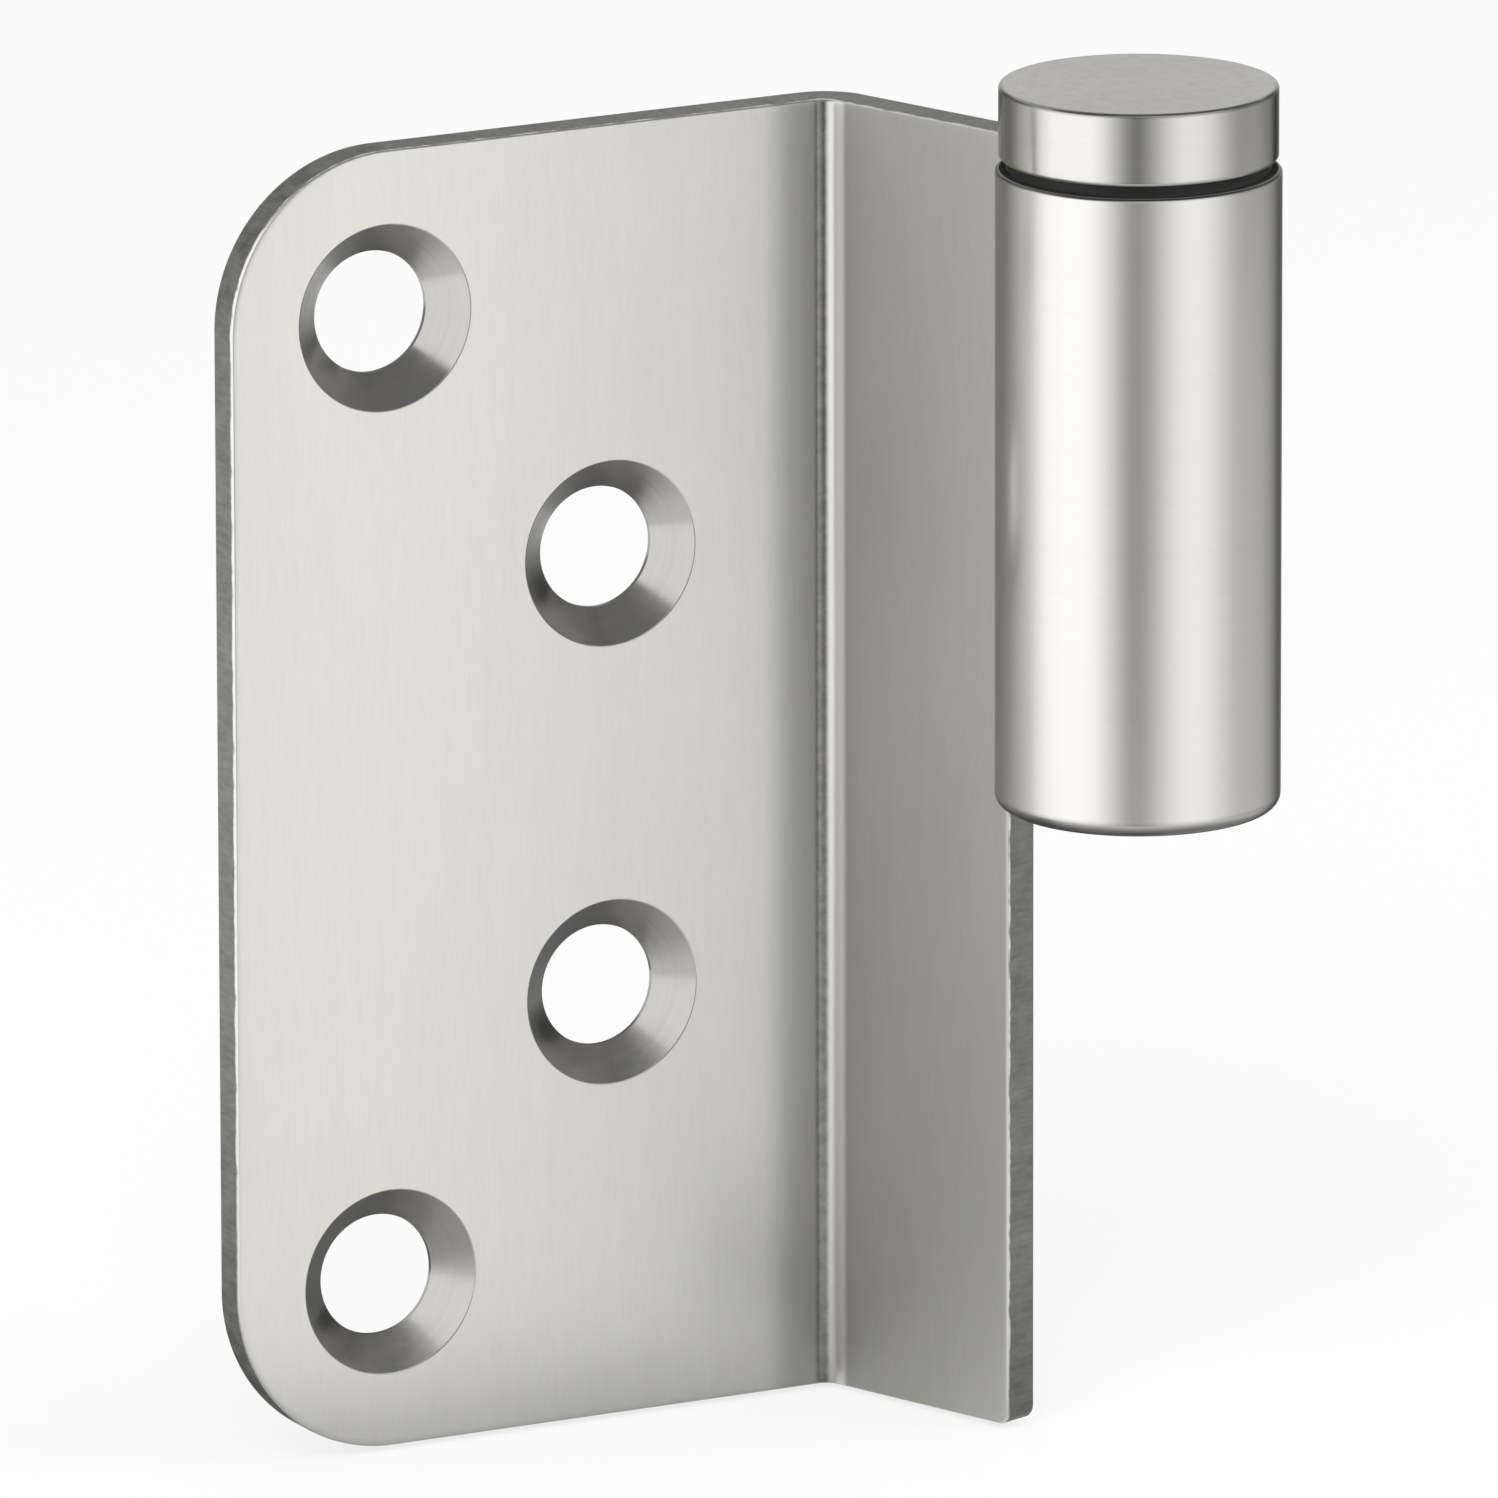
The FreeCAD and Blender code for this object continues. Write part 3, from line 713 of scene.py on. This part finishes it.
def add_knuckle_land(bm, sizes, reach, setback, bend_end):
    """Draw the free edge out to the knuckle over the knuckle's height, coped to its outside."""
    for height in (TUBE_LOW.z, TUBE_HIGH.z):
        near_edge = [face for face in bm.faces if max(vert.co.x for vert in face.verts) > bend_end]
        parts = near_edge + list({edge for face in near_edge for edge in face.edges})
        bmesh.ops.bisect_plane(bm, geom=parts, dist=NEAR, plane_co=(0, 0, height), plane_no=(0, 0, 1))
    land = []
    for face in bm.faces:
        middle = face.calc_center_median()
        if middle.x > reach - sizes.edge_round and TUBE_LOW.z < middle.z < TUBE_HIGH.z:
            land.append(face)
    made = bmesh.ops.extrude_face_region(bm, geom=land)
    bmesh.ops.delete(bm, geom=land, context="FACES")
    radius = TUBE_HIGH.x
    corner_reach = math.hypot(LEAF_LOW.x + sizes.main_width, LEAF_HIGH.y - sizes.thickness)
    axis_reach = math.sqrt(corner_reach ** 2 - sizes.axis_offset ** 2)
    for vert in [item for item in made["geom"] if isinstance(item, bmesh.types.BMVert)]:
        sideways = sizes.axis_offset - vert.co.y
        coped = axis_reach - math.sqrt(radius ** 2 - sideways ** 2)
        vert.co.x = bend_end - setback + coped


def map_sheet(bm, layer, sizes, middle):
    """Lay the sheet out flat: its faces as they lie, its edges by the way round and the depth."""
    bm.normal_update()
    for face in bm.faces:
        if face.material_index == HOLE_FINISH:
            continue
        flat = abs(face.normal.y) > 0.9
        centre = face.calc_center_median()
        side = FACE_FINISH if centre.y < sizes.thickness / 2 else BACK_FINISH
        face.material_index = side if flat else EDGE_FINISH
        rightwards = math.copysign(1.0, -centre.z)
        upwards = math.copysign(1.0, centre.x - middle)
        for loop in face.loops:
            along, depth, height = loop.vert.co
            loop[layer].uv = (along, height) if flat else (rightwards * along + upwards * height, depth)


def fold(bm, sizes, bend_start, bend_end):
    """Fold the flat blank about the bend, and set it in the part's frame."""
    corner = Vector((LEAF_LOW.x + bend_start, LEAF_HIGH.y - sizes.thickness - sizes.bend_radius))
    for vert in bm.verts:
        along, depth, height = vert.co
        turn = min(max((along - bend_start) / sizes.bend_radius, 0.0), sizes.bend_angle)
        inwards = Vector((math.sin(turn), math.cos(turn)))
        onwards = Vector((math.cos(turn), -math.sin(turn)))
        before = Vector((min(along - bend_start, 0.0), 0.0))
        beyond = onwards * max(along - bend_end, 0.0)
        place = corner + inwards * (sizes.bend_radius + depth) + before + beyond
        vert.co = (place.x, place.y, height)


class HINGE_OT_leaf(bpy.types.Operator):
    """Cut the flat blank, round its edges, drill it and fold it."""
    bl_idname = "hinge.leaf"
    bl_label = "Folded leaf"

    def execute(self, context):
        """Build the leaf from its sizes."""
        sizes, finish = context.scene.hinge_leaf, context.scene.hinge_finishes
        setback = sizes.bend_radius * math.tan(sizes.bend_angle / 2)
        bend_start = sizes.main_width - setback
        bend_end = bend_start + sizes.bend_radius * sizes.bend_angle
        reach = bend_end + sizes.second_width - setback
        bm = bmesh.new()
        layer = bm.loops.layers.uv.new(BLANK_MAP)
        outlines = [cut_blank(bm, sizes, reach, LEAF_HIGH.z)]
        outlines += [drill(bm, layer, sizes, centre, radius) for centre, radius in screw_holes()]
        for loops in zip(*outlines):
            fill_flat(bm, loops)
        score_bend(bm, bend_start, bend_end)
        add_knuckle_land(bm, sizes, reach, setback, bend_end)
        map_sheet(bm, layer, sizes, reach / 2)
        fold(bm, sizes, bend_start, bend_end)
        materials = [
            satin_sheet(finish, bend_start, bend_end), satin_back(finish), sheared_edge(finish),
            drilled_cone(finish)]
        add_piece(bm, "folded_leaf", materials, "hinge_leaf")
        return {"FINISHED"}


# Turned and moulded pieces

class HINGE_OT_knuckle(bpy.types.Operator):
    """Turn the knuckle tube."""
    bl_idname = "hinge.knuckle"
    bl_label = "Knuckle"

    def execute(self, context):
        """Spin the tube's section and round its rims."""
        sizes, finish = context.scene.hinge_turned, context.scene.hinge_finishes
        outside, bore, top, foot = TUBE_HIGH.x, BUSH_HIGH.x, TUBE_HIGH.z, TUBE_LOW.z
        section = [(bore, foot), (outside, foot), (outside, top), (bore, top), (bore, foot)]
        bm = turn_piece(sizes.steps, section, (
            (outside, foot, sizes.foot_round, FOOT_STEPS),
            (outside, top, sizes.top_round, RIM_STEPS),
            (bore, foot, sizes.mouth_break, BREAK_STEPS)))
        mark_top(bm, top)
        side = turned_face(
            "turned_steel", finish.turned, finish.turned_roughness, anisotropy=0.0, contrast=0.014,
            mottle=0.1, shades=((foot, KNUCKLE_FOOT_SHADE), (top, KNUCKLE_TOP_SHADE)))
        # The top end takes the painted shade under the ring
        materials = [side, shaded_end(finish)]
        add_piece(bm, "turned_knuckle", materials, "knuckle_tube", mirrored=False)
        return {"FINISHED"}


class HINGE_OT_cap(bpy.types.Operator):
    """Turn the end cap with its spigot."""
    bl_idname = "hinge.cap"
    bl_label = "End cap"

    def execute(self, context):
        """Spin the cap's section, round its rims and face its top."""
        sizes, finish = context.scene.hinge_turned, context.scene.hinge_finishes
        outside, spigot, top, foot, end = CAP_HIGH.x, BUSH_HIGH.x, CAP_HIGH.z, RING_HIGH.z, CAP_LOW.z
        section = [(0, end), (spigot, end), (spigot, foot), (outside, foot), (outside, top), (0, top)]
        bm = turn_piece(sizes.steps, section, (
            (outside, top, sizes.cap_top_round, RIM_STEPS),
            (outside, foot, sizes.cap_foot_round, RIM_STEPS),
            (spigot, end, sizes.spigot_break, BREAK_STEPS)))
        mark_top(bm, top)
        side = turned_face(
            "turned_cap", finish.cap, finish.cap_roughness, anisotropy=0.35, contrast=0.02, mottle=0.1,
            shades=((foot, CAP_FOOT_SHADE), (top, CAP_TOP_SHADE)))
        faced = turned_face(
            "faced_end", finish.faced, roughness=0.3, anisotropy=0.2, contrast=0.16, mottle=0.7)
        add_piece(bm, "turned_cap", [side, faced], "end_cap", mirrored=False)
        return {"FINISHED"}


class HINGE_OT_plastics(bpy.types.Operator):
    """Mould the spacer ring and the bearing bush."""
    bl_idname = "hinge.plastics"
    bl_label = "Ring and bush"

    def execute(self, context):
        """Spin both sections and round their rims."""
        sizes, finish = context.scene.hinge_turned, context.scene.hinge_finishes
        outside, hole, low, high = RING_HIGH.x, sizes.ring_hole, RING_LOW.z, RING_HIGH.z
        section = [(hole, low), (outside, low), (outside, high), (hole, high), (hole, low)]
        bm = turn_piece(sizes.steps, section, (
            (outside, low, sizes.ring_round, RING_STEPS), (outside, high, sizes.ring_round, RING_STEPS)))
        black = moulded_plastic("ring_plastic", finish.ring, roughness=0.5, grain=6000.0)
        add_piece(bm, "spacer_ring", [black], "cap_ring", mirrored=False)

        outside, bore = BUSH_HIGH.x, MOUNTS["pin_bore"]["dims"]["r_mm"] * MM
        mouth, end = BUSH_LOW.z, BUSH_HIGH.z
        floor = end - sizes.bush_floor
        section = [(0, floor), (bore, floor), (bore, mouth), (outside, mouth), (outside, end), (0, end)]
        bm = turn_piece(sizes.steps, section, [(bore, mouth, sizes.bush_lead_in, BREAK_STEPS)])
        grey = moulded_plastic("bearing_plastic", finish.bush, roughness=0.42, grain=4000.0)
        add_piece(bm, "pin_bush", [grey], "bearing_bush", mirrored=False)
        return {"FINISHED"}


# Studio stage

FLOOR_GAP = 0.2 * MM
FLOOR_MATT = (0.9, 0.9, 0.9, 1.0)
TENT_TINT = (1.0, 1.0, 0.985, 1.0)

# Place and watts of each lamp
LAMPS = {"key_lamp": ((-0.55, -0.6, 0.75), 6.5), "fill_lamp": ((0.75, -0.45, 0.6), 4.0)}

# Panels and flags of the tent's wall in degrees: bearing from the camera, half widths where full and gone
PANELS = {
    "key": (-56.0, 14.0, 58.0),
    "fill": (41.0, 3.0, 50.0),
    "left": (-114.0, 8.0, 36.0),
    "right": (98.0, 4.0, 54.0),
    "rear": (180.0, 12.0, 38.0),
}
FLAGS = (-160.0, 4.0, 16.0), (152.0, 6.0, 20.0)

# Heights over which the flags end, and over which the side panels fade to a share of their light
FLAG_FADE = 24.0 * MM, 44.0 * MM
SIDE_FADE = 14.0 * MM, 24.0 * MM
SIDE_SHARES = {"left": 0.2, "right": 0.6}

# Stretches along Y over which the ground and the roof change, and the dark spot below the knuckle
GROUND_NEAR = 0.0, 22.0 * MM
GROUND_REAR = 24.0 * MM, 34.0 * MM
GROUND_FAR = 60.0 * MM, 90.0 * MM
ROOF_FRONT = -75.0 * MM, -45.0 * MM
ROOF_REAR = 15.0 * MM, 45.0 * MM
SPOT_RADII, SPOT_LIGHT = (5.0 * MM, 13.0 * MM), 0.05


def bare_material(name):
    """Start a node material with no nodes, and give it with its graph."""
    material = bpy.data.materials.new(name)
    material.use_nodes = True
    material.node_tree.nodes.clear()
    return material, Graph(material.node_tree)


def seen_directly(graph):
    """Give one for rays that look straight at a surface or see it in metal or glass."""
    path = graph.add("ShaderNodeLightPath").outputs
    glossy = graph.maths("MAXIMUM", path["Is Camera Ray"], path["Is Glossy Ray"])
    return graph.maths("MAXIMUM", glossy, path["Is Transmission Ray"])


def floor_material(stage):
    """Make the white floor, which glows where it is seen, takes a shadow and is clear from below."""
    material, graph = bare_material("pale_floor")
    matt = graph.add("ShaderNodeBsdfDiffuse", {"Color": FLOOR_MATT})
    white = graph.add("ShaderNodeEmission", {"Color": WHITE, "Strength": 1.0})
    glow = graph.maths("MULTIPLY", seen_directly(graph), stage.floor_glow)
    mixed = graph.add("ShaderNodeMixShader", {0: glow, 1: matt.outputs[0], 2: white.outputs[0]})
    below = graph.add("ShaderNodeNewGeometry").outputs["Backfacing"]
    clear = graph.add("ShaderNodeBsdfTransparent")
    sided = graph.add("ShaderNodeMixShader", {0: below, 1: mixed.outputs[0], 2: clear.outputs[0]})
    graph.add("ShaderNodeOutputMaterial", {"Surface": sided.outputs[0]})
    return material


def soft_panel():
    """Build the group for one panel on the tent: one inside an angle, easing to nought beyond it."""
    graph, start, end = new_group(
        "soft_panel",
        [("Angle", "Float"), ("Centre", "Float"), ("Inner", "Float"), ("Outer", "Float")],
        [("Mask", "Float")])
    apart = graph.maths("SUBTRACT", start.outputs["Angle"], start.outputs["Centre"])
    wrapped = graph.maths("WRAP", apart, math.pi, -math.pi)
    distance = graph.maths("ABSOLUTE", wrapped)
    mask = graph.smooth(distance, start.outputs["Inner"], start.outputs["Outer"], 1.0, 0.0)
    graph.feed(end.inputs["Mask"], mask)
    return graph.tree


def tent_wall(graph, stage, parts):
    """Give the light of the tent's wall: soft panels over its surround, less two narrow flags."""
    backwards = graph.maths("MULTIPLY", parts["Y"], -1.0)
    bearing = graph.maths("ARCTAN2", parts["X"], backwards)
    bearing = graph.maths("SUBTRACT", bearing, stage.camera_azimuth)

    def lit(panel, amount):
        inputs = dict(zip(("Centre", "Inner", "Outer"), map(math.radians, panel)))
        mask = place_group(graph, soft_panel, {"Angle": bearing, **inputs})["Mask"]
        return graph.maths("MULTIPLY", mask, amount)

    wall = stage.surround
    for name, panel in PANELS.items():
        amount = getattr(stage, name)
        if name in SIDE_SHARES:
            amount = graph.smooth(parts["Z"], *SIDE_FADE, amount, SIDE_SHARES[name] * amount)
        wall = graph.maths("ADD", lit(panel, amount), wall)
    flag = graph.smooth(parts["Z"], *FLAG_FADE, stage.flag, 0.0)
    for panel in FLAGS:
        wall = graph.maths("MULTIPLY", wall, graph.maths("SUBTRACT", 1.0, lit(panel, flag)))
    return wall


def tent_material(stage):
    """Make the light tent from its wall, ground and roof, dimmer where one steel face mirrors another."""
    material, graph = bare_material("light_tent")
    place = graph.object_place()
    parts = graph.split(place)
    rings = place_group(graph, round_coordinates, {"Vector": place})["Vector"]
    wall = tent_wall(graph, stage, parts)
    near = graph.smooth(parts["Y"], *GROUND_NEAR, stage.ground, stage.ground_near)
    far = graph.smooth(parts["Y"], *GROUND_FAR, stage.ground_rear, stage.ground_far)
    ground = graph.pick(graph.smooth(parts["Y"], *GROUND_REAR), near, far)
    spot = graph.smooth(graph.split(rings)["X"], *SPOT_RADII, SPOT_LIGHT, 1.0)
    ground = graph.maths("MULTIPLY", ground, spot)
    roof = graph.smooth(parts["Y"], *ROOF_FRONT, stage.roof_front, stage.roof)
    roof = graph.pick(graph.smooth(parts["Y"], *ROOF_REAR), roof, stage.roof_rear)
    on_ground = graph.maths("LESS_THAN", parts["Z"], CAD_BOX[0].z)
    on_roof = graph.maths("GREATER_THAN", parts["Z"], stage.tent_top - MM)
    light = graph.pick(on_roof, graph.pick(on_ground, wall, ground), roof)
    mirrors = graph.add("ShaderNodeLightPath").outputs["Glossy Depth"]
    strength = graph.maths("MULTIPLY", light, graph.smooth(mirrors, 1.0, 2.0, 1.0, stage.echo))
    glow = graph.add("ShaderNodeEmission", {"Color": TENT_TINT, "Strength": strength})
    graph.add("ShaderNodeOutputMaterial", {"Surface": glow.outputs[0]})
    return material


def add_stage_mesh(bm, name, material):
    """Make a stage object, which isn't part of the hinge."""
    made = make_object(bm, name, [material])
    return made


def add_floor(stage):
    """Lay the floor just below the tent's ground."""
    bm = bmesh.new()
    place = Matrix.Translation((0, 0, CAD_BOX[0].z - 2 * FLOOR_GAP))
    bmesh.ops.create_circle(bm, cap_ends=True, radius=stage.floor_radius, segments=64, matrix=place)
    add_stage_mesh(bm, "floor", floor_material(stage))


def add_tent(stage):
    """Stand the light tent round the hinge, where only the steel sees it."""
    bm = bmesh.new()
    low = CAD_BOX[0].z - FLOOR_GAP
    place = Matrix.Translation((0, 0, (low + stage.tent_top) / 2))
    bmesh.ops.create_cone(
        bm, cap_ends=True, segments=180, radius1=stage.tent_radius, radius2=stage.tent_radius,
        depth=stage.tent_top - low, matrix=place)
    tent = add_stage_mesh(bm, "light_tent", tent_material(stage))
    for ray in ("camera", "diffuse", "transmission", "volume_scatter", "shadow"):
        setattr(tent, "visible_" + ray, False)


def add_lamp(name, place, watts):
    """Hang a soft square lamp that looks at the middle of the hinge."""
    middle = (CAD_BOX[0] + CAD_BOX[1]) / 2
    data = bpy.data.lights.new(name, "AREA")
    data.size = 0.7
    data.energy = watts
    lamp = bpy.data.objects.new(name, data)
    lamp.location = place
    lamp.rotation_euler = (middle - Vector(place)).to_track_quat("-Z", "Y").to_euler()
    lamp.visible_glossy = False
    bpy.context.scene.collection.objects.link(lamp)


def add_world(stage):
    """Make the world white where it is seen, and plain soft light elsewhere."""
    world = bpy.data.worlds.new("studio")
    world.use_nodes = True
    graph = Graph(world.node_tree)
    shade = world.node_tree.nodes["Background"]
    strength = graph.smooth(seen_directly(graph), 0.0, 1.0, stage.ambient, 1.0)
    graph.dress(shade, {"Color": WHITE, "Strength": strength})
    bpy.context.scene.world = world


def add_camera(stage):
    """Set the camera at the photograph's angle."""
    turn, rise = stage.camera_azimuth, stage.camera_elevation
    back = Vector((math.sin(turn) * math.cos(rise), -math.cos(turn) * math.cos(rise), math.sin(rise)))
    data = bpy.data.cameras.new("camera")
    data.sensor_width = 36.0
    data.lens = stage.lens
    data.clip_end = 100.0
    camera = bpy.data.objects.new("camera", data)
    camera.location = Vector(stage.camera_target) + back * stage.camera_distance
    level_turn = (-back).to_track_quat("-Z", "Y").to_matrix().to_4x4()
    camera.rotation_euler = (level_turn @ Matrix.Rotation(stage.camera_roll, 4, "Z")).to_euler()
    bpy.context.scene.collection.objects.link(camera)
    bpy.context.scene.camera = camera


class HINGE_OT_stage(bpy.types.Operator):
    """Set up the floor, the light tent, the lamps, the world and the camera."""
    bl_idname = "hinge.stage"
    bl_label = "Studio stage"

    def execute(self, context):
        """Build the stage from its settings."""
        stage = context.scene.hinge_stage
        add_floor(stage)
        add_tent(stage)
        for name, (place, watts) in LAMPS.items():
            add_lamp(name, place, watts)
        add_world(stage)
        add_camera(stage)
        context.scene.view_settings.view_transform = "Standard"
        return {"FINISHED"}


class HINGE_PT_panel(bpy.types.Panel):
    """List the hinge's steps and settings in the sidebar."""
    bl_idname = "HINGE_PT_panel"
    bl_label = "Door hinge leaf"
    bl_space_type = "VIEW_3D"
    bl_region_type = "UI"
    bl_category = "Hinge"

    def draw(self, context):
        """Draw a button for each step and a row for each setting."""
        layout = self.layout
        for step in STEPS:
            layout.operator(step.bl_idname, text=step.bl_label)
        for name, group in SETTINGS.items():
            settings = getattr(context.scene, name)
            box = layout.box()
            for key in group.__annotations__:
                box.prop(settings, key)


SETTINGS = {
    "hinge_leaf": LeafSizes,
    "hinge_turned": TurnedSizes,
    "hinge_finishes": Finishes,
    "hinge_stage": StageSettings,
}
STEPS = (HINGE_OT_leaf, HINGE_OT_knuckle, HINGE_OT_cap, HINGE_OT_plastics, HINGE_OT_stage)


def register():
    """Register the settings, the steps and the panel."""
    for name, group in SETTINGS.items():
        bpy.utils.register_class(group)
        setattr(bpy.types.Scene, name, PointerProperty(type=group))
    for step in STEPS:
        bpy.utils.register_class(step)
    bpy.utils.register_class(HINGE_PT_panel)


def unregister():
    """Take the panel, the steps and the settings away again."""
    bpy.utils.unregister_class(HINGE_PT_panel)
    for step in reversed(STEPS):
        bpy.utils.unregister_class(step)
    for name, group in reversed(SETTINGS.items()):
        delattr(bpy.types.Scene, name)
        bpy.utils.unregister_class(group)


def main():
    """Build every piece and the stage."""
    register()
    bpy.ops.hinge.leaf()
    bpy.ops.hinge.knuckle()
    bpy.ops.hinge.cap()
    bpy.ops.hinge.plastics()
    bpy.ops.hinge.stage()


if __name__ == "__main__":
    main()
